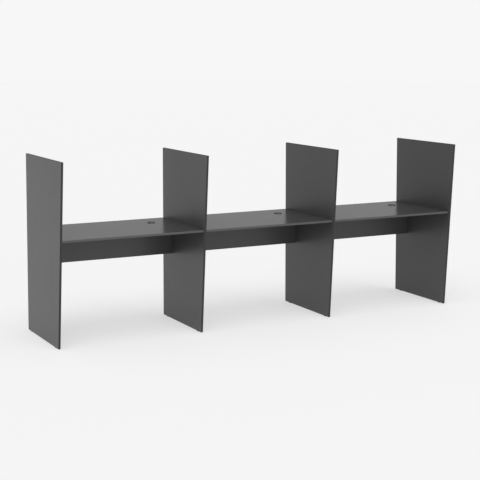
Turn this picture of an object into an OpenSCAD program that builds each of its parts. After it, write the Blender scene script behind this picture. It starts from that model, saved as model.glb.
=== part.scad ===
// Study carrel: a straight row of three study places between four upright panels.
// Millimetres. Origin: centre of the row's footprint, on the floor.
// +X runs along the row to the right of a seated user, +Y points to the back, +Z is up.

/* [Bays] */
// Clear width between two neighbouring upright panels
bay_w = 1028; // [800:1:1400]
// Thickness of every board
board_t = 15; // [15:1:22]
// Thickness of the edging strips glued to the boards
edge_t = 1; // [0.5:0.1:2]

/* [Upright panels] */
// Height of an upright panel, without its feet
panel_h = 1250; // [1100:1:1500]
// Depth of an upright panel along its bottom edge
panel_bottom_d = 650; // [620:1:700]
// Depth of an upright panel along its top edge
panel_top_d = 755; // [710:1:850]

/* [Worktops] */
// Height of the worktop's upper face above the floor
worktop_z = 735; // [680:1:800]
// Depth of a worktop, front edge to back edge
worktop_d = 700; // [600:1:700]

/* [Modesty panels] */
// Height of a modesty panel, hung under the worktop
modesty_h = 230; // [150:1:400]
// Distance from the row's back edge to a modesty panel's front face
modesty_from_back = 160; // [120:1:165]

/* [Cable grommets] */
// Diameter of the hole in the worktop
grommet_hole_d = 50; // [44:1:52]
// Outer diameter of the ring's flange
grommet_flange_d = 60; // [60:1:66]
// Distance from the grommet's centre to the upright panel on its right
grommet_from_right = 182; // [120:1:500]
// Distance from the grommet's centre to the row's back edge
grommet_from_back = 200; // [200:1:400]
// Width of the cable notch in the cap
notch_w = 20; // [12:1:24]

/* [Levelling feet] */
// Height of an upright panel's bottom edge above the floor
foot_gap = 5; // [5:0.5:9]
// Distance from a foot's centre to the nearer end of the panel's bottom edge
foot_inset = 65; // [40:1:120]
// Diameter of a foot's pad
foot_pad_d = 14; // [12:1:15]
// Diameter of a foot's stem
foot_stem_d = 6; // [5:0.5:8]

/* [Connectors] */
// Diameter of a cam lock
cam_d = 15; // [15:0.5:16]
// Distance from a cam lock's axis to the end of its board
cam_reach = 34; // [30:1:40]
// Distance from a worktop's connectors to its front and back edges
worktop_fit_inset = 60; // [45:1:90]
// Distance from a modesty panel's connectors to its top and bottom edges
modesty_fit_inset = 45; // [35:1:60]
// Diameter of a wooden dowel
dowel_d = 8; // [6:1:8]
// Length of a dowel inside a worktop or a modesty panel
dowel_reach = 20; // [15:1:30]

/* [Hidden] */

// Fineness of round shapes, and how far a cutting tool passes its face
$fn = 64;
cut = 1;
// Radial play between glued or screwed pieces, and between pieces that turn
loose = 0.1;
turning = 0.3;
screw_play = 0.05;
// Butt joint between two edging strips at a corner
corner_joint = 0.1;

// Which upright panel or bay a number means
LEFT_END = 0;
RIGHT_END = 3;
PANELS = [0:3];
BAYS = [0:2];

// The row
bay_pitch = bay_w + board_t;
row_w = 3 * bay_w + 4 * board_t;
back_y = panel_top_d / 2;
panel_z0 = foot_gap;
panel_z1 = foot_gap + panel_h;
front_slope = (panel_top_d - panel_bottom_d) / panel_h;
slanted_edge_t = edge_t * sqrt(1 + front_slope * front_slope);

// Worktops
worktop_z0 = worktop_z - board_t;
worktop_front_y = back_y - worktop_d;
worktop_mid_z = worktop_z - board_t / 2;

// Modesty panels
modesty_z1 = worktop_z0;
modesty_z0 = modesty_z1 - modesty_h;
modesty_front_y = back_y - modesty_from_back;
modesty_back_y = modesty_front_y + board_t;
modesty_mid_y = modesty_front_y + board_t / 2;

// Grommets: the ring hangs in the hole by its flange, and the cap sits in the ring
grommet_y = back_y - grommet_from_back;
flange_r = grommet_flange_d / 2;
flange_h = 3;
flange_chamfer = 1;
sleeve_r = grommet_hole_d / 2 - 0.2;
sleeve_wall = 2;
sleeve_inner_r = sleeve_r - sleeve_wall;
sleeve_depth = 20;
seat_r = sleeve_r + 2.2;
seat_z = 1;
cap_play = 0.05;
skirt_depth = 5;
skirt_wall = 1.6;
notch_start = 10;
notch_direction = 100;

// Feet: a stem in a threaded insert, moulded into a pad with a hexagon for a spanner
foot_pad_h = 4;
foot_base_h = 1.5;
foot_chamfer = 0.5;
hex_inset = 0.3;
stem_in_pad = 2.5;
stem_above_pad = 31;
insert_d = 10;
insert_h = 20;
insert_hole_depth = 40;
foot_front_y = back_y - panel_bottom_d + foot_inset;
foot_rear_y = back_y - foot_inset;

// Connectors: a bolt in the upright panel is pulled by a cam lock in the other board
cam_hole_depth = board_t - 2.5;
cam_h = cam_hole_depth - 0.5;
cam_bore_r = 3.4;
cam_bore_end = 3.5;
recess_l = 8;
recess_w = 1.6;
recess_depth = 2.5;
cover_d = 17;
cover_t = 1.2;
cover_lip_t = 0.4;
bolt_r = 3;
bolt_hole_r = 4;
bolt_neck_r = 1.5;
bolt_head_r = 2.8;
bolt_head_front = 3;
bolt_head_back = 2;
bolt_neck_l = 5;
bolt_thread_r = 2.5;
bolt_thread_l = 11;
dowel_blind = 10;
dowel_chamfer = 0.8;
dowel_spacing = 32;

// Points in the Y-Z plane where bolts and dowels cross the faces of the upright panels
worktop_bolt_y = [worktop_front_y + worktop_fit_inset, back_y - worktop_fit_inset];
modesty_bolt_z = [modesty_z0 + modesty_fit_inset, modesty_z1 - modesty_fit_inset];
bolt_points = concat(
    [for (y = worktop_bolt_y) [y, worktop_mid_z]],
    [for (z = modesty_bolt_z) [modesty_mid_y, z]]
);
dowel_points = [
    [worktop_bolt_y[0] + dowel_spacing, worktop_mid_z],
    [worktop_bolt_y[1] - dowel_spacing, worktop_mid_z],
    [modesty_mid_y, (modesty_z0 + modesty_z1) / 2]
];

graphite = "#4c4c4b";
worktop_edge = "#555554";
panel_edge = "#2b2b2b";
moulded_black = "#232324";
zinc = "#b4b7ba";
beech = "#c9a878";

// Places

function panel_x(i) = -row_w / 2 + i * bay_pitch;
function bay_x(i) = panel_x(i) + board_t;
function grommet_x(i) = bay_x(i) + bay_w - grommet_from_right;
function front_y(z) = back_y - panel_bottom_d - (z - panel_z0) * front_slope;
function is_end(i) = i == LEFT_END || i == RIGHT_END;

// Tools

// An outline in the Y-Z plane, made into a plate of thickness t along +X
module side_plate(points, t) {
    rotate([90, 0, 90]) linear_extrude(t) polygon(points);
}

// A cylinder that runs along +X
module x_rod(r, l) {
    rotate([0, 90, 0]) cylinder(r = r, h = l);
}

// A ring or disc turned from half its section
module turned(section) {
    rotate_extrude() polygon(section);
}

// Places children on an end panel's inner face, with +X pointing into the bay
module on_end_panel(i, points) {
    for (p = points)
        translate([i == LEFT_END ? bay_x(0) : panel_x(RIGHT_END), p[0], p[1]])
            rotate([0, 0, i == LEFT_END ? 0 : 180]) children();
}

// Places children on a board's end, with +X pointing out of the board
module on_board_ends(bay, points) {
    for (p = points, right = [0, 1])
        translate([bay_x(bay) + right * bay_w, p[0], p[1]])
            rotate([0, 0, right ? 0 : 180]) children();
}

// Places children on a worktop's cam axes, on its underside, with +Z into the board
// and +X towards the board's end
module on_worktop_cams(bay) {
    for (y = worktop_bolt_y, right = [0, 1])
        translate([bay_x(bay) + (right ? bay_w - cam_reach : cam_reach), y, worktop_z0])
            rotate([0, 0, right ? 0 : 180]) children();
}

// The same on a modesty panel's rear face
module on_modesty_cams(bay) {
    for (z = modesty_bolt_z, right = [0, 1])
        translate([bay_x(bay) + (right ? bay_w - cam_reach : cam_reach), modesty_back_y, z])
            rotate([90, 0, 0]) rotate([0, 0, right ? 0 : 180]) children();
}

// Upright panels

module panel_board(i) {
    z1 = panel_z1 - edge_t;
    difference() {
        translate([panel_x(i), 0, 0]) side_plate([
            [back_y - edge_t, panel_z0],
            [back_y - edge_t, z1],
            [front_y(z1) + slanted_edge_t, z1],
            [front_y(panel_z0) + slanted_edge_t, panel_z0]
        ], board_t);
        if (is_end(i)) {
            on_end_panel(i, bolt_points)
                translate([-bolt_thread_l, 0, 0]) x_rod(bolt_thread_r + loose, bolt_thread_l + cut);
            on_end_panel(i, dowel_points)
                translate([-dowel_blind, 0, 0]) x_rod(dowel_d / 2 + loose, dowel_blind + cut);
        } else {
            for (p = bolt_points)
                translate([panel_x(i) - cut, p[0], p[1]]) x_rod(bolt_r + loose, board_t + 2 * cut);
            for (p = dowel_points)
                translate([panel_x(i) - cut, p[0], p[1]])
                    x_rod(dowel_d / 2 + loose, board_t + 2 * cut);
        }
        for (y = [foot_front_y, foot_rear_y]) translate([panel_x(i) + board_t / 2, y, panel_z0]) {
            translate([0, 0, -cut]) cylinder(d = insert_d + 2 * loose, h = insert_h + cut);
            cylinder(d = foot_stem_d + 1, h = insert_hole_depth);
        }
    }
}

module panel(i) {
    color(graphite) panel_board(i);
}

// Strips on the front, back and top edges
module panel_edging(i) {
    z1 = panel_z1 - edge_t;
    color(panel_edge) translate([panel_x(i), 0, 0]) {
        side_plate([
            [front_y(panel_z0), panel_z0],
            [front_y(panel_z0) + slanted_edge_t, panel_z0],
            [front_y(panel_z1) + slanted_edge_t, panel_z1],
            [front_y(panel_z1), panel_z1]
        ], board_t);
        side_plate([
            [front_y(z1) + slanted_edge_t + corner_joint, z1],
            [back_y - edge_t - corner_joint, z1],
            [back_y - edge_t - corner_joint, panel_z1],
            [front_y(panel_z1) + slanted_edge_t + corner_joint, panel_z1]
        ], board_t);
        translate([0, back_y - edge_t, panel_z0]) cube([board_t, edge_t, panel_h]);
    }
}

// Worktops

module worktop(bay) {
    color(graphite) difference() {
        translate([bay_x(bay), worktop_front_y + edge_t, worktop_z0])
            cube([bay_w, worktop_d - 2 * edge_t, board_t]);
        translate([grommet_x(bay), grommet_y, worktop_z0 - cut])
            cylinder(d = grommet_hole_d, h = board_t + 2 * cut);
        on_board_ends(bay, [for (y = worktop_bolt_y) [y, worktop_mid_z]])
            translate([-cam_reach, 0, 0]) x_rod(bolt_hole_r, cam_reach + cut);
        on_board_ends(bay, [dowel_points[0], dowel_points[1]])
            translate([-dowel_reach - cut, 0, 0]) x_rod(dowel_d / 2 + loose, dowel_reach + 2 * cut);
        on_worktop_cams(bay) cam_hole();
    }
}

module worktop_edging(bay) {
    color(worktop_edge) for (y = [worktop_front_y, back_y - edge_t])
        translate([bay_x(bay), y, worktop_z0]) cube([bay_w, edge_t, board_t]);
}

// Modesty panels

module modesty_panel(bay) {
    color(graphite) difference() {
        translate([bay_x(bay), modesty_front_y, modesty_z0 + edge_t])
            cube([bay_w, board_t, modesty_h - 2 * edge_t]);
        on_board_ends(bay, [for (z = modesty_bolt_z) [modesty_mid_y, z]])
            translate([-cam_reach, 0, 0]) x_rod(bolt_hole_r, cam_reach + cut);
        on_board_ends(bay, [dowel_points[2]])
            translate([-dowel_reach - cut, 0, 0]) x_rod(dowel_d / 2 + loose, dowel_reach + 2 * cut);
        on_modesty_cams(bay) cam_hole();
    }
}

module modesty_edging(bay) {
    color(panel_edge) for (z = [modesty_z0, modesty_z1 - edge_t])
        translate([bay_x(bay), modesty_front_y, z]) cube([bay_w, board_t, edge_t]);
}

// Cable grommets

module grommet_ring(bay) {
    color(moulded_black) translate([grommet_x(bay), grommet_y, worktop_z]) turned([
        [sleeve_inner_r, -sleeve_depth],
        [sleeve_r, -sleeve_depth],
        [sleeve_r, 0],
        [flange_r, 0],
        [flange_r, flange_h - flange_chamfer],
        [flange_r - flange_chamfer, flange_h],
        [seat_r, flange_h],
        [seat_r, seat_z],
        [sleeve_inner_r, seat_z]
    ]);
}

// The notch is open to the rim, with a round inner end
module cap_notch() {
    rotate([0, 0, notch_direction]) {
        translate([notch_start + notch_w / 2, -notch_w / 2, -skirt_depth - cut])
            cube([flange_r, notch_w, skirt_depth + flange_h + 2 * cut]);
        translate([notch_start + notch_w / 2, 0, -skirt_depth - cut])
            cylinder(d = notch_w, h = skirt_depth + flange_h + 2 * cut);
    }
}

module grommet_cap(bay) {
    disc_r = seat_r - turning;
    disc_z0 = seat_z + cap_play;
    skirt_r = sleeve_inner_r - turning;
    color(moulded_black) translate([grommet_x(bay), grommet_y, worktop_z]) difference() {
        turned([
            [0, disc_z0],
            [skirt_r - skirt_wall, disc_z0],
            [skirt_r - skirt_wall, -skirt_depth],
            [skirt_r, -skirt_depth],
            [skirt_r, disc_z0],
            [disc_r, disc_z0],
            [disc_r, flange_h],
            [0, flange_h]
        ]);
        cap_notch();
    }
}

// Levelling feet

module at_foot(i, y) {
    translate([panel_x(i) + board_t / 2, y, 0]) children();
}

module foot_pad(i, y) {
    r = foot_pad_d / 2;
    color(moulded_black) at_foot(i, y) difference() {
        union() {
            turned([
                [0, 0],
                [r - foot_chamfer, 0],
                [r, foot_chamfer],
                [r, foot_base_h],
                [0, foot_base_h]
            ]);
            cylinder(r = r - hex_inset, h = foot_pad_h, $fn = 6);
        }
        translate([0, 0, foot_pad_h - stem_in_pad])
            cylinder(r = foot_stem_d / 2 + screw_play, h = stem_in_pad + cut);
    }
}

module foot_stem(i, y) {
    color(zinc) at_foot(i, y) translate([0, 0, foot_pad_h - stem_in_pad])
        cylinder(d = foot_stem_d, h = stem_in_pad + stem_above_pad);
}

module foot_inserts() {
    color(zinc) for (i = PANELS, y = [foot_front_y, foot_rear_y])
        at_foot(i, y) translate([0, 0, panel_z0]) difference() {
            cylinder(d = insert_d, h = insert_h);
            translate([0, 0, -cut])
                cylinder(r = foot_stem_d / 2 + screw_play, h = insert_h + 2 * cut);
        }
}

// Connectors

module cam_hole() {
    translate([0, 0, -cut]) cylinder(d = cam_d, h = cam_hole_depth + cut);
}

// Exposed face at the open end of its hole, with a cross recess for the screwdriver
module cam_lock() {
    face_z = cam_hole_depth - cam_h;
    difference() {
        translate([0, 0, face_z]) cylinder(r = cam_d / 2 - loose, h = cam_h);
        translate([-cam_bore_end, 0, board_t / 2]) x_rod(cam_bore_r, cam_d);
        for (turn = [0, 90]) rotate([0, 0, turn])
            translate([-recess_l / 2, -recess_w / 2, face_z - cut])
                cube([recess_l, recess_w, recess_depth + cut]);
    }
}

module cam_cover() {
    translate([0, 0, -cover_t]) cylinder(d = cover_d, h = cover_t);
    cylinder(r = cam_d / 2 - turning, h = cover_lip_t);
}

module worktop_cam_locks() {
    color(zinc) for (bay = BAYS) on_worktop_cams(bay) cam_lock();
}

module modesty_cam_locks() {
    color(zinc) for (bay = BAYS) on_modesty_cams(bay) cam_lock();
}

module worktop_cam_covers() {
    color(graphite) for (bay = BAYS) on_worktop_cams(bay) cam_cover();
}

module modesty_cam_covers() {
    color(graphite) for (bay = BAYS) on_modesty_cams(bay) cam_cover();
}

// The part of a bolt that stands out of a panel's face along +X
module bolt_end() {
    neck_x = cam_reach - bolt_head_front - bolt_neck_l;
    x_rod(bolt_r, neck_x);
    x_rod(bolt_neck_r, neck_x + bolt_neck_l);
    translate([neck_x + bolt_neck_l, 0, 0]) x_rod(bolt_head_r, bolt_head_front + bolt_head_back);
}

module end_panel_bolts() {
    color(zinc) for (i = [LEFT_END, RIGHT_END]) on_end_panel(i, bolt_points) {
        bolt_end();
        translate([-bolt_thread_l, 0, 0]) x_rod(bolt_thread_r, bolt_thread_l + bolt_r);
    }
}

module divider_bolts() {
    color(zinc) for (i = [1, 2], p = bolt_points) translate([panel_x(i), p[0], p[1]]) {
        rotate([0, 0, 180]) bolt_end();
        translate([-bolt_r, 0, 0]) x_rod(bolt_r, board_t + 2 * bolt_r);
        translate([board_t, 0, 0]) bolt_end();
    }
}

// A dowel from x0 to x1 with chamfered ends
module dowel(x0, x1) {
    r = dowel_d / 2;
    translate([x0, 0, 0]) rotate([0, 90, 0]) turned([
        [0, 0],
        [r - dowel_chamfer, 0],
        [r, dowel_chamfer],
        [r, x1 - x0 - dowel_chamfer],
        [r - dowel_chamfer, x1 - x0],
        [0, x1 - x0]
    ]);
}

module end_panel_dowels() {
    color(beech) for (i = [LEFT_END, RIGHT_END])
        on_end_panel(i, dowel_points) dowel(-dowel_blind, dowel_reach);
}

module divider_dowels() {
    color(beech) for (i = [1, 2], p = dowel_points)
        translate([panel_x(i), p[0], p[1]]) dowel(-dowel_reach, board_t + dowel_reach);
}

panel(0);  // left_end_panel
panel(1);  // left_divider_panel
panel(2);  // right_divider_panel
panel(3);  // right_end_panel
panel_edging(0);  // left_end_edging
panel_edging(1);  // left_divider_edging
panel_edging(2);  // right_divider_edging
panel_edging(3);  // right_end_edging
worktop(0);  // left_worktop
worktop(1);  // middle_worktop
worktop(2);  // right_worktop
worktop_edging(0);  // left_worktop_edging
worktop_edging(1);  // middle_worktop_edging
worktop_edging(2);  // right_worktop_edging
modesty_panel(0);  // left_modesty_panel
modesty_panel(1);  // middle_modesty_panel
modesty_panel(2);  // right_modesty_panel
modesty_edging(0);  // left_modesty_edging
modesty_edging(1);  // middle_modesty_edging
modesty_edging(2);  // right_modesty_edging
grommet_ring(0);  // left_grommet_ring
grommet_ring(1);  // middle_grommet_ring
grommet_ring(2);  // right_grommet_ring
grommet_cap(0);  // left_grommet_cap
grommet_cap(1);  // middle_grommet_cap
grommet_cap(2);  // right_grommet_cap
foot_pad(0, foot_front_y);  // left_end_front_pad
foot_pad(1, foot_front_y);  // left_divider_front_pad
foot_pad(2, foot_front_y);  // right_divider_front_pad
foot_pad(3, foot_front_y);  // right_end_front_pad
foot_pad(0, foot_rear_y);  // left_end_rear_pad
foot_pad(1, foot_rear_y);  // left_divider_rear_pad
foot_pad(2, foot_rear_y);  // right_divider_rear_pad
foot_pad(3, foot_rear_y);  // right_end_rear_pad
foot_stem(0, foot_front_y);  // left_end_front_stem
foot_stem(1, foot_front_y);  // left_divider_front_stem
foot_stem(2, foot_front_y);  // right_divider_front_stem
foot_stem(3, foot_front_y);  // right_end_front_stem
foot_stem(0, foot_rear_y);  // left_end_rear_stem
foot_stem(1, foot_rear_y);  // left_divider_rear_stem
foot_stem(2, foot_rear_y);  // right_divider_rear_stem
foot_stem(3, foot_rear_y);  // right_end_rear_stem
foot_inserts();
worktop_cam_locks();
modesty_cam_locks();
worktop_cam_covers();
modesty_cam_covers();
end_panel_bolts();
divider_bolts();
end_panel_dowels();
divider_dowels();
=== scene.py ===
import math

import bmesh
import bpy
from mathutils import Matrix, Vector


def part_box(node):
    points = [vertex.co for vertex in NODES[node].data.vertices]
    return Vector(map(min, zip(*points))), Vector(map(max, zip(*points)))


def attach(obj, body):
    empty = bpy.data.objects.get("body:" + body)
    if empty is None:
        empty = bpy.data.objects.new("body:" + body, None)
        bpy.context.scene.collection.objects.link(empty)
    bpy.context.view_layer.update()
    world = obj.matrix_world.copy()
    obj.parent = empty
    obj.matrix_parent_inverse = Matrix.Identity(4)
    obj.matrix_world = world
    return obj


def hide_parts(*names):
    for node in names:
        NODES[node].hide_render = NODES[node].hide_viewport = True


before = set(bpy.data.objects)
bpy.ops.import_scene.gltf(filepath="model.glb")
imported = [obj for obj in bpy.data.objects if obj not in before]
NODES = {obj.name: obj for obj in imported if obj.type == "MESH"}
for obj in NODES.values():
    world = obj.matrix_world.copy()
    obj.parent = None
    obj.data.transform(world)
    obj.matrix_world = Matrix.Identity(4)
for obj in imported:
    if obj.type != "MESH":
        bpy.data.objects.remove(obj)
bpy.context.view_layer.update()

# A straight row of three study places. Blender works in metres in the row frame: +X runs along the
# row to the right, the front edges are towards -Y, and the floor is at Z = 0. The sizes of small
# details are named below in millimetres, and MM turns them into metres where a mesh is made.
# Outline points closer than TINY millimetres to a line count as on it.

MM = 0.001
TINY = 0.01

BAYS = ("left", "middle", "right")
UPRIGHTS = ("left_end", "left_divider", "right_divider", "right_end")
FOOT_ENDS = ("front", "rear")
MAIN_BODY = "row_frame"

# Edges that turn more sharply than this, in degrees, stay crisp or get a bevel
SHARP_ANGLE = 35


# ---------------------------------------------------------------- objects and nodes

def add_object(name, data):
    """A new object in the scene."""
    made = bpy.data.objects.new(name, data)
    bpy.context.scene.collection.objects.link(made)
    return made


def mesh_data(name, mesh):
    """Turns a bmesh into mesh data, and frees it."""
    data = bpy.data.meshes.new(name)
    mesh.to_mesh(data)
    mesh.free()
    return data


def new_material(name):
    """A material with its node tree and its shader."""
    material = bpy.data.materials.new(name)
    material.use_nodes = True
    return material, material.node_tree, material.node_tree.nodes["Principled BSDF"]


def add_node(tree, kind, inputs=None, **settings):
    """A node. inputs maps a socket to a value or to the output that feeds it."""
    node = tree.nodes.new(kind)
    for key, value in settings.items():
        setattr(node, key, value)
    for socket, value in (inputs or {}).items():
        if isinstance(value, bpy.types.NodeSocket):
            tree.links.new(value, node.inputs[socket])
        else:
            node.inputs[socket].default_value = value
    return node


def place(tree):
    """The row frame's coordinates at rest, in metres: every piece's object sits at the origin."""
    return add_node(tree, "ShaderNodeTexCoord").outputs["Object"]


def noise(tree, where, size, detail=2.0, rough=0.5, stretch=None):
    """Noise from 0 to 1, with features of about that size in metres."""
    if stretch:
        inputs = {"Vector": where, "Scale": stretch}
        where = add_node(tree, "ShaderNodeMapping", inputs).outputs["Vector"]
    inputs = {"Vector": where, "Scale": 1 / size, "Detail": detail, "Roughness": rough}
    return add_node(tree, "ShaderNodeTexNoise", inputs).outputs["Fac"]


def spread(tree, value, low, high, to_low=0.0, to_high=1.0):
    """Eases a value smoothly from to_low at low to to_high at high."""
    inputs = {"Value": value, "From Min": low, "From Max": high, "To Min": to_low, "To Max": to_high}
    node = add_node(tree, "ShaderNodeMapRange", inputs, interpolation_type="SMOOTHSTEP")
    return node.outputs["Result"]


def colour(value):
    """The input for a colour socket: an output as it is, a grey level or an (r, g, b) with alpha 1."""
    if isinstance(value, bpy.types.NodeSocket):
        return value
    if isinstance(value, tuple):
        return (*value, 1)
    return (value, value, value, 1)


# Where ShaderNodeMix keeps its factor, its two colours and its mixed colour
MIX_FACTOR = 0
MIX_FIRST = 6
MIX_SECOND = 7
MIX_RESULT = 2


def blend(tree, share, first, second):
    """A mix of two colours: all of the first at 0, all of the second at 1."""
    inputs = {MIX_FACTOR: share, MIX_FIRST: colour(first), MIX_SECOND: colour(second)}
    return add_node(tree, "ShaderNodeMix", inputs, data_type="RGBA").outputs[MIX_RESULT]


def bump(tree, height, distance, under=None):
    """A bumped normal, on top of another one if it is given. distance is in metres."""
    inputs = {"Height": height, "Distance": distance}
    if under is not None:
        inputs["Normal"] = under
    return add_node(tree, "ShaderNodeBump", inputs).outputs["Normal"]


def facing(tree, axis):
    """1 where the surface looks along that axis of the row frame, either way, and 0 elsewhere."""
    normal = add_node(tree, "ShaderNodeNewGeometry").outputs["Normal"]
    parts = add_node(tree, "ShaderNodeSeparateXYZ", {"Vector": normal})
    along = add_node(tree, "ShaderNodeMath", {0: parts.outputs[axis]}, operation="ABSOLUTE")
    return spread(tree, along.outputs[0], low=0.15, high=0.40)


# ---------------------------------------------------------------- materials

CORE_CHIP_SIZE = 0.0032
CORE_DARK = (0.075, 0.066, 0.057)
CORE_PALE = (0.13, 0.115, 0.10)
CORE_ROUGH = 0.8
FLECK_SHARE = 0.55
ROUGH_VARIES = 0.012

DULLED_BY_WEAR = 0.12
DULLED_BY_HANDLING = 0.025

STAINED_ZINC = (0.90, 0.86, 0.74)

BEECH_DARK = (0.50, 0.33, 0.18)
BEECH_PALE = (0.66, 0.47, 0.28)
BEECH_FLECK = (0.30, 0.17, 0.08)


def laminate(name, axis, tone, rough, specular):
    """Graphite melamine on the two faces of a board that look along axis, over a core of chips
    that is sealed with dark paint."""
    material, tree, shader = new_material(name)
    where = place(tree)

    cloud = spread(tree, noise(tree, where, size=0.22, detail=3.0), low=0.30, high=0.70)
    grain = noise(tree, where, size=0.0016, detail=3.0, rough=0.6)
    body = blend(tree, cloud, tone * 0.975, tone * 1.025)
    fleck = blend(tree, spread(tree, grain, low=0.36, high=0.66), tone * 0.76, tone * 1.24)
    face_colour = blend(tree, FLECK_SHARE, body, fleck)
    handled = noise(tree, where, size=0.06, detail=4.0, rough=0.65)
    face_rough = spread(tree, handled, low=0.25, high=0.75,
                        to_low=rough - ROUGH_VARIES, to_high=rough + ROUGH_VARIES)

    chips = add_node(tree, "ShaderNodeTexVoronoi", {"Vector": where, "Scale": 1 / CORE_CHIP_SIZE})
    chip = add_node(tree, "ShaderNodeSeparateColor", {"Color": chips.outputs["Color"]})
    core_colour = blend(tree, chip.outputs["Red"], CORE_DARK, CORE_PALE)

    face = facing(tree, axis)
    tree.links.new(blend(tree, face, core_colour, face_colour), shader.inputs["Base Color"])
    either = {"Value": face, "To Min": CORE_ROUGH, "To Max": face_rough}
    roughness = add_node(tree, "ShaderNodeMapRange", either).outputs["Result"]
    tree.links.new(roughness, shader.inputs["Roughness"])
    shader.inputs["Specular IOR Level"].default_value = specular

    wave = bump(tree, noise(tree, where, size=0.06), distance=0.000006)
    pearl = bump(tree, noise(tree, where, size=0.0007), distance=0.000022, under=wave)
    tree.links.new(pearl, shader.inputs["Normal"])
    return material


def edging(name, tone, rough, worn_and_highlit):
    """Extruded strip with fine lines. The version with wear is for the strip's rounded corners, where scuff
    patches are painted lighter: partly wear and partly a painted highlight along the edge.
    """
    material, tree, shader = new_material(name)
    where = place(tree)

    cloud = spread(tree, noise(tree, where, size=0.15, detail=3.0), low=0.3, high=0.7)
    lines = noise(tree, where, size=0.0009, rough=0.6)
    # Scuff patches: they dull the roughness, and on the corner version they also lighten the colour, which
    # is partly wear and partly a painted highlight.
    scuffs_and_sheen = spread(tree, noise(tree, where, size=0.012, detail=5.0, rough=0.7), low=0.52, high=0.68)
    strip = blend(tree, cloud, tone * 0.95, tone * 1.05)
    strip = blend(tree, spread(tree, lines, low=0.3, high=0.7, to_high=0.5), strip, tone * 0.86)
    # Painted highlight along the rounded corner, mixed with wear: the scuff patches are painted lighter.
    if worn_and_highlit:
        strip = blend(tree, scuffs_and_sheen, strip, tone * 1.9)
    tree.links.new(strip, shader.inputs["Base Color"])

    dulled = rough + (DULLED_BY_WEAR if worn_and_highlit else DULLED_BY_HANDLING)
    roughness = spread(tree, scuffs_and_sheen, low=0.0, high=1.0, to_low=rough, to_high=dulled)
    tree.links.new(roughness, shader.inputs["Roughness"])
    tree.links.new(bump(tree, lines, distance=0.00001), shader.inputs["Normal"])
    return material


def moulded_plastic(name, tone, rough):
    """Spark-eroded moulded plastic: a fine even grain, with dust in patches."""
    material, tree, shader = new_material(name)
    where = place(tree)

    spark = noise(tree, where, size=0.00055, detail=3.0, rough=0.55)
    cloud = spread(tree, noise(tree, where, size=0.018, detail=3.0), low=0.3, high=0.7)
    patches = noise(tree, where, size=0.006, detail=4.0, rough=0.7)
    dust = spread(tree, patches, low=0.55, high=0.80, to_high=0.22)
    plastic = blend(tree, cloud, tone * 0.88, tone * 1.15)
    tree.links.new(blend(tree, dust, plastic, tone * 2.6), shader.inputs["Base Color"])

    roughness = spread(tree, spark, low=0.3, high=0.7, to_low=rough - 0.06, to_high=rough + 0.06)
    tree.links.new(roughness, shader.inputs["Roughness"])
    tree.links.new(bump(tree, spark, distance=0.00003), shader.inputs["Normal"])
    return material


def plated_steel(name, tone, rough, streak):
    """Zinc plate with a faint yellow stain. streak squeezes the fine lines along Z."""
    material, tree, shader = new_material(name)
    where = place(tree)

    lines = noise(tree, where, size=0.0011, detail=3.0, rough=0.6, stretch=(1, 1, streak))
    stain = spread(tree, noise(tree, where, size=0.007, detail=4.0, rough=0.6), low=0.40, high=0.72)
    stained = tuple(tone * part for part in STAINED_ZINC)
    plate = blend(tree, stain, (tone, tone, tone * 1.02), stained)
    tree.links.new(plate, shader.inputs["Base Color"])
    shader.inputs["Metallic"].default_value = 1.0

    roughness = spread(tree, lines, low=0.2, high=0.8, to_low=rough - 0.08, to_high=rough + 0.12)
    tree.links.new(roughness, shader.inputs["Roughness"])
    tree.links.new(bump(tree, lines, distance=0.00001), shader.inputs["Normal"])
    return material


def beech(name):
    """Raw beech: straight grain along X with short dark flecks."""
    material, tree, shader = new_material(name)
    where = place(tree)

    grain = noise(tree, where, size=0.0016, detail=3.0, rough=0.6, stretch=(0.05, 1, 1))
    flecks = noise(tree, where, size=0.0006, stretch=(0.18, 1, 1))
    wood = blend(tree, spread(tree, grain, low=0.3, high=0.7), BEECH_DARK, BEECH_PALE)
    wood = blend(tree, spread(tree, flecks, low=0.60, high=0.72), wood, BEECH_FLECK)
    tree.links.new(wood, shader.inputs["Base Color"])

    roughness = spread(tree, grain, low=0.2, high=0.8, to_low=0.55, to_high=0.75)
    tree.links.new(roughness, shader.inputs["Roughness"])
    tree.links.new(bump(tree, grain, distance=0.00008), shader.inputs["Normal"])
    return material


def light_table(name, tone, glow):
    """Pale floor that is also lit from below, so that it stays pale under the object."""
    material, tree, shader = new_material(name)
    mottle = noise(tree, place(tree), size=0.6)
    tree.links.new(blend(tree, mottle, tone * 0.995, tone * 1.005), shader.inputs["Base Color"])
    shader.inputs["Roughness"].default_value = 0.9
    shader.inputs["Specular IOR Level"].default_value = 0.1
    shader.inputs["Emission Color"].default_value = colour(1)
    shader.inputs["Emission Strength"].default_value = glow
    return material


# ---------------------------------------------------------------- camera, lights and floor

# The camera looks along +Y, turned to the right and tilted down by these degrees
CAMERA_PLACE = (-4.105, -7.808, 2.006)
CAMERA_TURN = 27.264
CAMERA_TILT = 5.10
CAMERA_LENS = 90.83
CAMERA_SHIFT = -0.18
SENSOR_WIDTH = 36

SURROUND_SEEN = 0.93
SURROUND_LIT = 0.45

FLOOR_RADIUS = 60
FLOOR_SEGMENTS = 96


def make_camera():
    data = bpy.data.cameras.new("camera")
    data.sensor_width = SENSOR_WIDTH
    data.lens = CAMERA_LENS
    data.shift_y = CAMERA_SHIFT
    camera = add_object("camera", data)
    camera.location = CAMERA_PLACE
    camera.rotation_euler = (math.radians(90 - CAMERA_TILT), 0, math.radians(-CAMERA_TURN))
    bpy.context.scene.camera = camera


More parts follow.
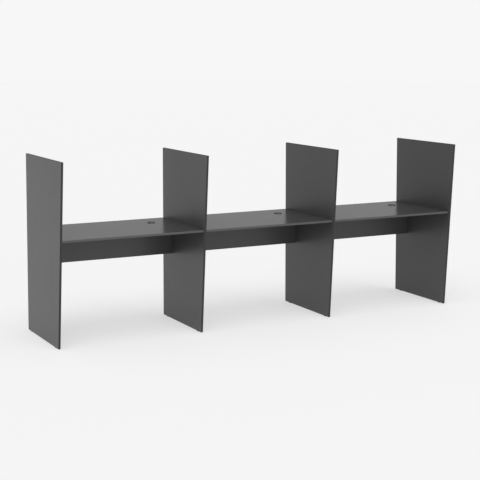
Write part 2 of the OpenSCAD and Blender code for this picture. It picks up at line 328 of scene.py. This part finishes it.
def make_world():
    """A plain surround: one brightness for the camera, and a lower one for the light that it gives."""
    world = bpy.data.worlds.new("studio")
    world.use_nodes = True
    bpy.context.scene.world = world
    tree = world.node_tree
    seen = add_node(tree, "ShaderNodeLightPath").outputs["Is Camera Ray"]
    levels = {"Value": seen, "To Min": SURROUND_LIT, "To Max": SURROUND_SEEN}
    strength = add_node(tree, "ShaderNodeMapRange", levels).outputs["Result"]
    background = tree.nodes["Background"]
    background.inputs["Color"].default_value = colour(1)
    tree.links.new(strength, background.inputs["Strength"])


def make_sun(name, strength, angle, turn, height):
    """A soft lamp, in degrees: angle is how wide it looks, turn is where it stands, from the front
    at 0 round to the left at 90, and height is how far it stands above the horizon."""
    data = bpy.data.lights.new(name, "SUN")
    data.energy = strength
    data.angle = math.radians(angle)
    lamp = add_object(name, data)
    lamp.rotation_euler = (math.radians(90 - height), 0, math.radians(-turn))


def make_floor():
    mesh = bmesh.new()
    bmesh.ops.create_circle(mesh, cap_ends=True, segments=FLOOR_SEGMENTS, radius=FLOOR_RADIUS)
    data = mesh_data("floor", mesh)
    data.materials.append(light_table("floor_table", tone=0.45, glow=0.54))
    add_object("floor", data)


# ---------------------------------------------------------------- finishing the CAD nodes

JOIN_DISTANCE = 0.005
FLAT_FACE_WEIGHT = 90
BOARD_ROUND = 0.15
STRIP_ROUND = 0.35
CAM_ROUND = 0.15
CORNER_SLOT = 1


def smooth_group():
    """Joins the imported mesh's split vertices and shades it smooth, so that a bevel can follow its
    edges."""
    group = bpy.data.node_groups.new("join_and_smooth", "GeometryNodeTree")
    for in_out in ("INPUT", "OUTPUT"):
        group.interface.new_socket("Geometry", in_out=in_out, socket_type="NodeSocketGeometry")
    start = group.nodes.new("NodeGroupInput").outputs[0]
    joining = {"Geometry": start, "Distance": JOIN_DISTANCE * MM}
    joined = add_node(group, "GeometryNodeMergeByDistance", joining).outputs[0]
    smoothed = add_node(group, "GeometryNodeSetShadeSmooth", {"Geometry": joined}).outputs[0]
    add_node(group, "NodeGroupOutput", {0: smoothed})
    return group


JOIN_AND_SMOOTH = smooth_group()


def finish_node(name, material, width, segments, corner_material=None):
    """Gives a CAD node its material and softly rounded edges, width millimetres wide."""
    node = NODES[name]
    node.material_slots[0].material = material
    node.modifiers.new("join", "NODES").node_group = JOIN_AND_SMOOTH
    bevel = node.modifiers.new("round_edges", "BEVEL")
    bevel.width = width * MM
    bevel.segments = segments
    bevel.limit_method = "ANGLE"
    bevel.angle_limit = math.radians(SHARP_ANGLE)
    bevel.use_clamp_overlap = False
    # The corner material, where given, goes on the rounded edges: a lighter strip that carries a painted
    # highlight.
    if corner_material:
        node.data.materials.append(corner_material)
        bevel.material = CORNER_SLOT
    node.modifiers.new("flat_faces", "WEIGHTED_NORMAL").weight = FLAT_FACE_WEIGHT


# ---------------------------------------------------------------- mesh helpers

# How each way that a turned shape can point moves (x, y, z): its own z ends up along that way
POINTING = {
    "+X": Matrix(((0, 0, 1), (1, 0, 0), (0, 1, 0))),
    "+Y": Matrix(((1, 0, 0), (0, 0, 1), (0, -1, 0))),
    "+Z": Matrix.Identity(3),
    "-Z": Matrix(((1, 0, 0), (0, -1, 0), (0, 0, -1))),
}


def corner_points(outline, i, radius, steps):
    """The arc of that radius that rounds corner i of a closed outline."""
    here = Vector(outline[i][:2])
    to_last = (Vector(outline[i - 1][:2]) - here).normalized()
    to_next = (Vector(outline[(i + 1) % len(outline)][:2]) - here).normalized()
    half = to_last.angle(to_next) / 2
    along = radius / math.tan(half)
    centre = here + (to_last + to_next).normalized() * radius / math.sin(half)
    first = here + to_last * along - centre
    last = here + to_next * along - centre
    return [centre + radius * first.slerp(last, k / steps) for k in range(steps + 1)]


def rounded(outline, steps=4):
    """The (r, z) points of a closed outline, whose corners are (r, z, fillet radius)."""
    points = []
    for i, (r, z, radius) in enumerate(outline):
        points += corner_points(outline, i, radius, steps) if radius else [Vector((r, z))]
    return points


def flipped(outline, length):
    """The same outline with its other end first."""
    return [(r, length - z, radius) for r, z, radius in reversed(outline)]


def turned(mesh, points, origin, segments, shape=None, pointing="+Z"):
    """Turns (r, z) points in millimetres about an axis through origin, as one closed skin. Points
    with r = 0 lie on the axis. shape(r, z, angle) gives a changed radius."""
    loops = []
    for r, z in points:
        loop = []
        for k in range(segments if r else 1):
            angle = 2 * math.pi * k / segments
            radius = shape(r, z, angle) if shape and r else r
            local = Vector((radius * math.cos(angle), radius * math.sin(angle), z))
            loop.append(mesh.verts.new(origin + POINTING[pointing] @ local * MM))
        loops.append(loop)
    for i, loop in enumerate(loops):
        after = loops[(i + 1) % len(loops)]
        for k in range(segments):
            ring = [loop[k % len(loop)], loop[(k + 1) % len(loop)],
                    after[(k + 1) % len(after)], after[k % len(after)]]
            corners = list(dict.fromkeys(ring))
            if len(corners) > 2:
                mesh.faces.new(corners)


def shade(data, sharp):
    """Shades a mesh smooth, apart from edges that turn more sharply than that many degrees."""
    data.shade_smooth()
    data.set_sharp_from_angle(angle=math.radians(sharp))


def make_piece(name, mesh, material, body, stands_for, sharp=SHARP_ANGLE):
    """Turns a bmesh into a piece of the object that stands for a CAD node."""
    bmesh.ops.recalc_face_normals(mesh, faces=mesh.faces)
    piece = add_object(name, mesh_data(name, mesh))
    shade(piece.data, sharp)
    piece.data.materials.append(material)
    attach(piece, body)
    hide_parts(stands_for)
    return piece


def linked_points(vertex, waiting):
    """The places of the vertices that edges link to this one. They are taken out of waiting."""
    found = []
    ahead = [vertex]
    while ahead:
        here = ahead.pop()
        found.append(here.co.copy())
        for edge in here.link_edges:
            other = edge.other_vert(here)
            if other in waiting:
                waiting.remove(other)
                ahead.append(other)
    return found


def solids(name):
    """The lowest and highest corners of each separate solid of a CAD node, in the row frame."""
    mesh = bmesh.new()
    mesh.from_mesh(NODES[name].data)
    bmesh.ops.remove_doubles(mesh, verts=mesh.verts, dist=JOIN_DISTANCE * MM)
    boxes = []
    waiting = set(mesh.verts)
    while waiting:
        points = linked_points(waiting.pop(), waiting)
        low = Vector(min(point[i] for point in points) for i in range(3))
        high = Vector(max(point[i] for point in points) for i in range(3))
        boxes.append((low, high))
    mesh.free()
    return sorted(boxes, key=lambda box: tuple(round(value, 4) for value in box[0]))


def on_upright_axis(low, high, z):
    """The point at height z on a box's vertical centre line."""
    return Vector(((low.x + high.x) / 2, (low.y + high.y) / 2, z))


def at_left_end(low, high):
    """The point where a box's centre line along X starts."""
    return Vector((low.x, (low.y + high.y) / 2, (low.z + high.z) / 2))


# ---------------------------------------------------------------- grommets

# Heights are measured up from the worktop's upper face

GROMMET_SEGMENTS = 140
GROMMET_TOP = 3.0

FLANGE_OVERHANG = 5.2
FLANGE_ROLL = 1.4
SLEEVE_DEPTH = 20.0
SLEEVE_WALL = 2.0
SEAT_OVERHANG = 2.2
SEAT_Z = 1.0

RIBS = 12
RIB_HEIGHT = 0.15
RIB_HALF_SHARE = 0.06
RIB_LOW = -18.0
RIB_HIGH = -1.5

CAP_GAP = 0.3
CAP_SEAT_Z = 1.05
CAP_RIM = 2.2
DISH_EDGE = 3.4
DISH_EDGE_DEPTH = 0.45
DISH_DEPTH = 0.5
SKIRT_DEPTH = 5.0
SKIRT_WALL = 1.6

# The notch's inner end is NOTCH_START from the centre, and it opens to the rim NOTCH_TURN degrees
# round from +X
NOTCH_WIDTH = 20.0
NOTCH_START = 10.0
NOTCH_TURN = 100
NOTCH_STEPS = 32
CUTTER_MARGIN = 2.0
WELD_DISTANCE = 0.01


def grommet_sizes(bay):
    """The centre of a ring on the worktop's upper face, and the radii of its flange and sleeve."""
    low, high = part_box(f"{bay}_grommet_ring")
    origin = on_upright_axis(low, high, high.z - GROMMET_TOP * MM)
    flange_r = (high.x - low.x) / 2 / MM
    return origin, flange_r, flange_r - FLANGE_OVERHANG


def grommet_ring(bay):
    """A moulded ring with a rolled flange, a seat for the cap, and ribs that grip the hole."""
    origin, flange_r, sleeve_r = grommet_sizes(bay)
    inner_r = sleeve_r - SLEEVE_WALL
    seat_r = sleeve_r + SEAT_OVERHANG

    def with_ribs(r, z, angle):
        from_rib = abs((angle * RIBS / (2 * math.pi) + 0.5) % 1 - 0.5)
        on_sleeve = abs(r - sleeve_r) < TINY and RIB_LOW <= z <= RIB_HIGH
        return r + RIB_HEIGHT if on_sleeve and from_rib < RIB_HALF_SHARE else r

    outline = [
        (inner_r, -SLEEVE_DEPTH, 0.4),
        (sleeve_r, -SLEEVE_DEPTH, 0.8),
        (sleeve_r, RIB_LOW, 0),
        (sleeve_r, RIB_HIGH, 0),
        (sleeve_r, 0, 0.2),
        (flange_r, 0, 0.3),
        (flange_r, GROMMET_TOP, FLANGE_ROLL),
        (seat_r, GROMMET_TOP, 0.35),
        (seat_r, SEAT_Z, 0.25),
        (inner_r, SEAT_Z, 0.5),
    ]
    mesh = bmesh.new()
    turned(mesh, rounded(outline), origin, GROMMET_SEGMENTS, with_ribs)
    make_piece(f"{bay}_ring_moulded", mesh, ring_plastic, MAIN_BODY,
               f"{bay}_grommet_ring")


def notch_cutter(origin, reach):
    """A slot from past the rim inward, with a round inner end, as a temporary object."""
    half = NOTCH_WIDTH / 2
    centre = NOTCH_START + half
    points = [(centre + reach, -half), (centre + reach, half)]
    for k in range(NOTCH_STEPS + 1):
        angle = math.pi / 2 + math.pi * k / NOTCH_STEPS
        points.append((centre + half * math.cos(angle), half * math.sin(angle)))
    turn = Matrix.Rotation(math.radians(NOTCH_TURN), 3, "Z")
    mesh = bmesh.new()
    lower, upper = (
        [mesh.verts.new(origin + turn @ Vector((a, b, z)) * MM) for a, b in points]
        for z in (-SKIRT_DEPTH - CUTTER_MARGIN, GROMMET_TOP + CUTTER_MARGIN)
    )
    mesh.faces.new(lower)
    mesh.faces.new(upper)
    for k in range(len(points)):
        mesh.faces.new((lower[k - 1], lower[k], upper[k], upper[k - 1]))
    bmesh.ops.recalc_face_normals(mesh, faces=mesh.faces)
    return add_object("notch_cutter", mesh_data("notch_cutter", mesh))


def bake_modifiers(piece):
    """Replaces a piece's mesh by what its modifiers make of it."""
    bpy.context.view_layer.update()
    graph = bpy.context.evaluated_depsgraph_get()
    made = bpy.data.meshes.new_from_object(piece.evaluated_get(graph), depsgraph=graph)
    piece.modifiers.clear()
    piece.data = made


def weld(data):
    """Joins points that lie on each other, and drops the slivers between them."""
    mesh = bmesh.new()
    mesh.from_mesh(data)
    bmesh.ops.remove_doubles(mesh, verts=mesh.verts, dist=WELD_DISTANCE * MM)
    bmesh.ops.dissolve_degenerate(mesh, edges=mesh.edges, dist=WELD_DISTANCE * MM)
    mesh.to_mesh(data)
    mesh.free()


def grommet_cap(bay):
    """A cap with a slightly dished top, a raised rim, a skirt, and a cable notch open to the rim."""
    origin, flange_r, sleeve_r = grommet_sizes(bay)
    disc_r = sleeve_r + SEAT_OVERHANG - CAP_GAP
    skirt_r = sleeve_r - SLEEVE_WALL - CAP_GAP
    inside_r = skirt_r - SKIRT_WALL
    outline = [
        (0, CAP_SEAT_Z, 0),
        (inside_r, CAP_SEAT_Z, 0.5),
        (inside_r, -SKIRT_DEPTH, 0.3),
        (skirt_r, -SKIRT_DEPTH, 0.5),
        (skirt_r, CAP_SEAT_Z, 0.2),
        (disc_r, CAP_SEAT_Z, 0.2),
        (disc_r, GROMMET_TOP, 0.45),
        (disc_r - CAP_RIM, GROMMET_TOP, 0.4),
        (disc_r - DISH_EDGE, GROMMET_TOP - DISH_EDGE_DEPTH, 0.6),
        (0, GROMMET_TOP - DISH_DEPTH, 0),
    ]
    mesh = bmesh.new()
    turned(mesh, rounded(outline), origin, GROMMET_SEGMENTS)
    piece = make_piece(f"{bay}_cap_moulded", mesh, cap_plastic, f"{bay}_cap",
                       f"{bay}_grommet_cap")
    cutter = notch_cutter(origin, flange_r)
    cut = piece.modifiers.new("notch", "BOOLEAN")
    cut.operation = "DIFFERENCE"
    cut.solver = "EXACT"
    cut.object = cutter
    bake_modifiers(piece)
    bpy.data.objects.remove(cutter)
    weld(piece.data)
    shade(piece.data, SHARP_ANGLE)


# ---------------------------------------------------------------- screw threads

THREAD_SEGMENTS = 24
THREAD_STEPS = 8
THREAD_SHARP_ANGLE = 50

# A thread's profile, as shares of half its pitch, and how it fades in and out, in millimetres
CREST = 0.15
FLANK = 0.62
FADE_IN = 0.8
FADE_OUT = 0.5


def thread_cut(depth, pitch, start, stop):
    """A radius change that cuts a helical thread of that depth between two heights."""

    def cut(r, z, angle):
        if not start <= z <= stop:
            return r
        off_crest = 2 * abs((z / pitch - angle / (2 * math.pi)) % 1 - 0.5)
        share = min(max((off_crest - CREST) / FLANK, 0), 1)
        fade = min((z - start) / FADE_IN, (stop - z) / FADE_OUT, 1)
        return r - depth * share * max(fade, 0)

    return cut


def thread_corners(radius, pitch, start, stop):
    """Enough outline corners along a threaded stretch for its ridge to show."""
    steps = round((stop - start) / pitch * THREAD_STEPS)
    return [(radius, start + (stop - start) * k / steps, 0) for k in range(steps + 1)]


# ---------------------------------------------------------------- feet

# Heights are measured up from the floor, apart from an insert's own, which start at its lower end

STEM_HOLE_R = 3.05

PAD_SEGMENTS = 72
PAD_BASE_H = 1.5
PAD_RECESS = 0.3
RECESS_INSET = 1.6
RECESS_SLOPE = 0.3
HEX_FOOT_INSET = 0.45
HEX_FOOT_H = 0.2
HEX_INSET = 0.32
HEX_CHAMFER_DROP = 0.35
HEX_CHAMFER_INSET = 0.85

STEM_PITCH = 1.0
STEM_THREAD_DEPTH = 0.61
STEM_PLAIN = 3.0
STEM_POINT = 1.0
STEM_POINT_INSET = 0.7
STEM_CHAMFER = 0.4

KNURLS = 30
KNURL_SEGMENTS = 4
KNURL_DEPTH = 0.4
KNURL_LIP = 1.6
KNURL_RAMP = 0.1
INSERT_ROUND = 0.4


def hexagon(angle):
    """How far a hexagon's outline is at that angle, with its corners 1 away and one at angle 0."""
    half_side = math.pi / 6
    return math.cos(half_side) / math.cos(angle % (2 * half_side) - half_side)


def foot_pad(foot):
    """A round base with a softly rounded hexagon on it, and the stem's socket."""
    low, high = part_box(f"{foot}_pad")
    base_r = (high.x - low.x) / 2 / MM
    hex_r = base_r - HEX_INSET
    top = high.z / MM

    def hexagonal(r, z, angle):
        on_hexagon = z > PAD_BASE_H + TINY and r > base_r / 2
        return r * hexagon(angle) if on_hexagon else r

    outline = [
        (0, PAD_RECESS, 0),
        (base_r - RECESS_INSET, PAD_RECESS, 0),
        (base_r - RECESS_INSET - RECESS_SLOPE, 0, 0),
        (base_r, 0, 0.4),
        (base_r, PAD_BASE_H, 0.3),
        (base_r - HEX_FOOT_INSET, PAD_BASE_H, 0),
        (hex_r, PAD_BASE_H + HEX_FOOT_H, 0),
        (hex_r, top - HEX_CHAMFER_DROP, 0),
        (base_r - HEX_CHAMFER_INSET, top, 0),
        (STEM_HOLE_R, top, 0.15),
        (STEM_HOLE_R, PAD_BASE_H, 0),
        (0, PAD_BASE_H, 0),
    ]
    mesh = bmesh.new()
    turned(mesh, rounded(outline), on_upright_axis(low, high, 0), PAD_SEGMENTS, hexagonal)
    make_piece(f"{foot}_pad_moulded", mesh, foot_plastic, f"{foot}_foot", f"{foot}_pad")


def foot_stem(foot):
    """A threaded stem, with a plain end in the pad and a turned point."""
    low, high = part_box(f"{foot}_stem")
    radius = (high.x - low.x) / 2 / MM
    bottom = low.z / MM
    top = high.z / MM
    start = bottom + STEM_PLAIN
    stop = top - STEM_POINT
    outline = [
        (0, bottom, 0),
        (radius - STEM_CHAMFER, bottom, 0),
        (radius, bottom + STEM_CHAMFER, 0),
        *thread_corners(radius, STEM_PITCH, start, stop),
        (radius - STEM_POINT_INSET, top, 0),
        (0, top, 0),
    ]
    cut = thread_cut(STEM_THREAD_DEPTH, STEM_PITCH, start, stop)
    mesh = bmesh.new()
    turned(mesh, rounded(outline), on_upright_axis(low, high, 0), THREAD_SEGMENTS, cut)
    make_piece(f"{foot}_stem_threaded", mesh, zinc, f"{foot}_foot", f"{foot}_stem",
               THREAD_SHARP_ANGLE)


def foot_inserts(name):
    """Threaded inserts with a knurled outside and a plain lip at each end."""
    mesh = bmesh.new()
    for low, high in solids(name):
        radius = (high.x - low.x) / 2 / MM
        height = (high.z - low.z) / MM

        def knurled(r, z, angle, radius=radius, height=height):
            outside = r > radius - KNURL_RAMP
            if outside and KNURL_LIP < z < height - KNURL_LIP:
                return r - KNURL_DEPTH * (0.5 - 0.5 * math.cos(angle * KNURLS))
            return r

        outline = [
            (STEM_HOLE_R, 0, INSERT_ROUND),
            (radius, 0, INSERT_ROUND),
            (radius, KNURL_LIP - KNURL_RAMP, 0),
            (radius, KNURL_LIP + KNURL_RAMP, 0),
            (radius, height - KNURL_LIP - KNURL_RAMP, 0),
            (radius, height - KNURL_LIP + KNURL_RAMP, 0),
            (radius, height, INSERT_ROUND),
            (STEM_HOLE_R, height, INSERT_ROUND),
        ]
        origin = on_upright_axis(low, high, low.z)
        turned(mesh, rounded(outline, steps=3), origin, KNURLS * KNURL_SEGMENTS, knurled)
    make_piece(f"{name}_knurled", mesh, zinc, MAIN_BODY, name)


# ---------------------------------------------------------------- connectors

COVER_SEGMENTS = 48
COVER_LIP_DEPTH = 0.4
COVER_LIP_INSET = 1.4
COVER_LIP_TAPER = 0.1
COVER_RIM_H = 0.45
COVER_SHOULDER_INSET = 0.9
COVER_SHOULDER_H = 0.95
COVER_CROWN_SHARE = 0.45
COVER_CROWN_H = 1.15
COVER_H = 1.2

BOLT_PITCH = 2.0
BOLT_THREAD_R = 2.5
BOLT_THREAD_L = 11.0
BOLT_THREAD_DEPTH = 0.75
BOLT_TIP_INSET = 0.8
BOLT_TIP_L = 0.9
BOLT_THREAD_RELIEF = 0.2
BOLT_NECK_R = 1.5
BOLT_NECK_L = 5.0
BOLT_HEAD_R = 2.8
BOLT_HEAD_L = 5.0

FLUTES = 14
FLUTE_SEGMENTS = 6
FLUTE_DEPTH = 0.28
DOWEL_CHAMFER = 0.9


def cam_covers(name, pointing):
    """Snap-in covers with a shallow dome that point that way, -Z or +Y."""
    outward = POINTING[pointing] @ Vector((0, 0, 1))
    mesh = bmesh.new()
    for low, high in solids(name):
        radius = (high.x - low.x) / 2 / MM
        outline = [
            (0, -COVER_LIP_DEPTH, 0),
            (radius - COVER_LIP_INSET, -COVER_LIP_DEPTH, 0.15),
            (radius - COVER_LIP_INSET + COVER_LIP_TAPER, 0, 0),
            (radius, 0, 0.15),
            (radius, COVER_RIM_H, 0.25),
            (radius - COVER_SHOULDER_INSET, COVER_SHOULDER_H, 0.9),
            (radius * COVER_CROWN_SHARE, COVER_CROWN_H, 0),
            (0, COVER_H, 0),
        ]
        half_depth = abs((high - low).dot(outward)) / 2
        origin = (low + high) / 2 + outward * (half_depth - COVER_H * MM)
        turned(mesh, rounded(outline), origin, COVER_SEGMENTS, pointing=pointing)
    make_piece(name.replace("covers", "caps"), mesh, cover_plastic, MAIN_BODY, name)


def headed_end(shank_r, length):
    """The outline of a bolt's end for a cam lock: shoulder, neck and head, out to that length."""
    neck_end = length - BOLT_HEAD_L
    neck_start = neck_end - BOLT_NECK_L
    return [
        (shank_r, neck_start, 0.4),
        (BOLT_NECK_R, neck_start, 0.3),
        (BOLT_NECK_R, neck_end, 0.2),
        (BOLT_HEAD_R, neck_end, 0.3),
        (BOLT_HEAD_R, length, 0.6),
        (0, length, 0),
    ]


def end_panel_bolts(name):
    """Bolts along X with a thread in an end panel and a head towards the middle of the row."""
    start = BOLT_TIP_L
    stop = BOLT_THREAD_L - BOLT_THREAD_RELIEF
    mesh = bmesh.new()
    for low, high in solids(name):
        length = (high.x - low.x) / MM
        shank_r = (high.z - low.z) / 2 / MM
        outline = [
            (0, 0, 0),
            (BOLT_THREAD_R - BOLT_TIP_INSET, 0, 0),
            *thread_corners(BOLT_THREAD_R, BOLT_PITCH, start, stop),
            (BOLT_THREAD_R, BOLT_THREAD_L, 0),
            (shank_r, BOLT_THREAD_L, 0.3),
            *headed_end(shank_r, length),
        ]
        threaded = (start, stop)
        if low.x > 0:
            outline = flipped(outline, length)
            threaded = (length - stop, length - start)
        cut = thread_cut(BOLT_THREAD_DEPTH, BOLT_PITCH, *threaded)
        turned(mesh, rounded(outline, steps=3), at_left_end(low, high), THREAD_SEGMENTS, cut, "+X")
    make_piece(f"{name}_turned", mesh, zinc, MAIN_BODY, name, THREAD_SHARP_ANGLE)


def divider_bolts(name):
    """Bolts along X through a divider, with a head at each end."""
    mesh = bmesh.new()
    for low, high in solids(name):
        length = (high.x - low.x) / MM
        right_end = headed_end((high.z - low.z) / 2 / MM, length)
        outline = flipped(right_end, length) + right_end
        turned(mesh, rounded(outline, steps=3), at_left_end(low, high), THREAD_SEGMENTS, pointing="+X")
    make_piece(f"{name}_turned", mesh, zinc, MAIN_BODY, name, THREAD_SHARP_ANGLE)


def fluted_dowels(name):
    """Beech dowels along X with flutes for the glue and chamfered ends."""

    def fluted(r, z, angle):
        return r - FLUTE_DEPTH * (0.5 - 0.5 * math.cos(angle * FLUTES)) ** 2

    mesh = bmesh.new()
    for low, high in solids(name):
        radius = (high.z - low.z) / 2 / MM
        length = (high.x - low.x) / MM
        outline = [
            (0, 0, 0),
            (radius - DOWEL_CHAMFER, 0, 0.3),
            (radius, DOWEL_CHAMFER, 0.4),
            (radius, length - DOWEL_CHAMFER, 0.4),
            (radius - DOWEL_CHAMFER, length, 0.3),
            (0, length, 0),
        ]
        segments = FLUTES * FLUTE_SEGMENTS
        turned(mesh, rounded(outline, steps=2), at_left_end(low, high), segments, fluted, "+X")
    make_piece(name.replace("dowels", "pegs"), mesh, dowel_wood, MAIN_BODY, name)


# ---------------------------------------------------------------- build

bpy.context.scene.view_settings.view_transform = "Standard"
make_camera()
make_world()
make_sun("key", strength=1.3, angle=60, turn=20, height=60)
make_sun("front", strength=0.65, angle=30, turn=-12, height=6)
make_floor()

panel_laminate = laminate("panel_laminate", "X", tone=0.065, rough=0.37, specular=0.33)
worktop_laminate = laminate("worktop_laminate", "Z", tone=0.066, rough=0.23, specular=0.50)
modesty_laminate = laminate("modesty_laminate", "Y", tone=0.062, rough=0.34, specular=0.33)
# The corner strips go on the rounded edges and are given a lighter tone than the flat strips: a painted
# highlight along those edges, with lighter scuff patches on top.
dark_strip = edging("dark_strip", tone=0.012, rough=0.38, worn_and_highlit=False)
dark_highlit_corner = edging("dark_strip_highlit_corner", tone=0.016, rough=0.42, worn_and_highlit=True)
light_strip = edging("light_strip", tone=0.066, rough=0.32, worn_and_highlit=False)
light_highlit_corner = edging("light_strip_highlit_corner", tone=0.075, rough=0.36, worn_and_highlit=True)
ring_plastic = moulded_plastic("ring_plastic", tone=0.016, rough=0.38)
cap_plastic = moulded_plastic("cap_plastic", tone=0.044, rough=0.40)
foot_plastic = moulded_plastic("foot_plastic", tone=0.020, rough=0.50)
cover_plastic = moulded_plastic("cover_plastic", tone=0.055, rough=0.45)
zinc = plated_steel("zinc", tone=0.62, rough=0.30, streak=6.0)
cast_zinc = plated_steel("cast_zinc", tone=0.50, rough=0.42, streak=1.0)
dowel_wood = beech("dowel_wood")

for upright in UPRIGHTS:
    finish_node(f"{upright}_panel", panel_laminate, BOARD_ROUND, segments=2)
    finish_node(f"{upright}_edging", dark_strip, STRIP_ROUND, segments=3, corner_material=dark_highlit_corner)
    for end in FOOT_ENDS:
        foot_pad(f"{upright}_{end}")
        foot_stem(f"{upright}_{end}")
for bay in BAYS:
    finish_node(f"{bay}_worktop", worktop_laminate, BOARD_ROUND, segments=2)
    finish_node(f"{bay}_worktop_edging", light_strip, STRIP_ROUND, segments=3, corner_material=light_highlit_corner)
    finish_node(f"{bay}_modesty_panel", modesty_laminate, BOARD_ROUND, segments=2)
    finish_node(f"{bay}_modesty_edging", dark_strip, STRIP_ROUND, segments=3, corner_material=dark_highlit_corner)
    grommet_ring(bay)
    grommet_cap(bay)
foot_inserts("foot_inserts")
end_panel_bolts("end_panel_bolts")
divider_bolts("divider_bolts")
finish_node("worktop_cam_locks", cast_zinc, CAM_ROUND, segments=2)
finish_node("modesty_cam_locks", cast_zinc, CAM_ROUND, segments=2)
cam_covers("worktop_cam_covers", "-Z")
cam_covers("modesty_cam_covers", "+Y")
fluted_dowels("end_panel_dowels")
fluted_dowels("divider_dowels")
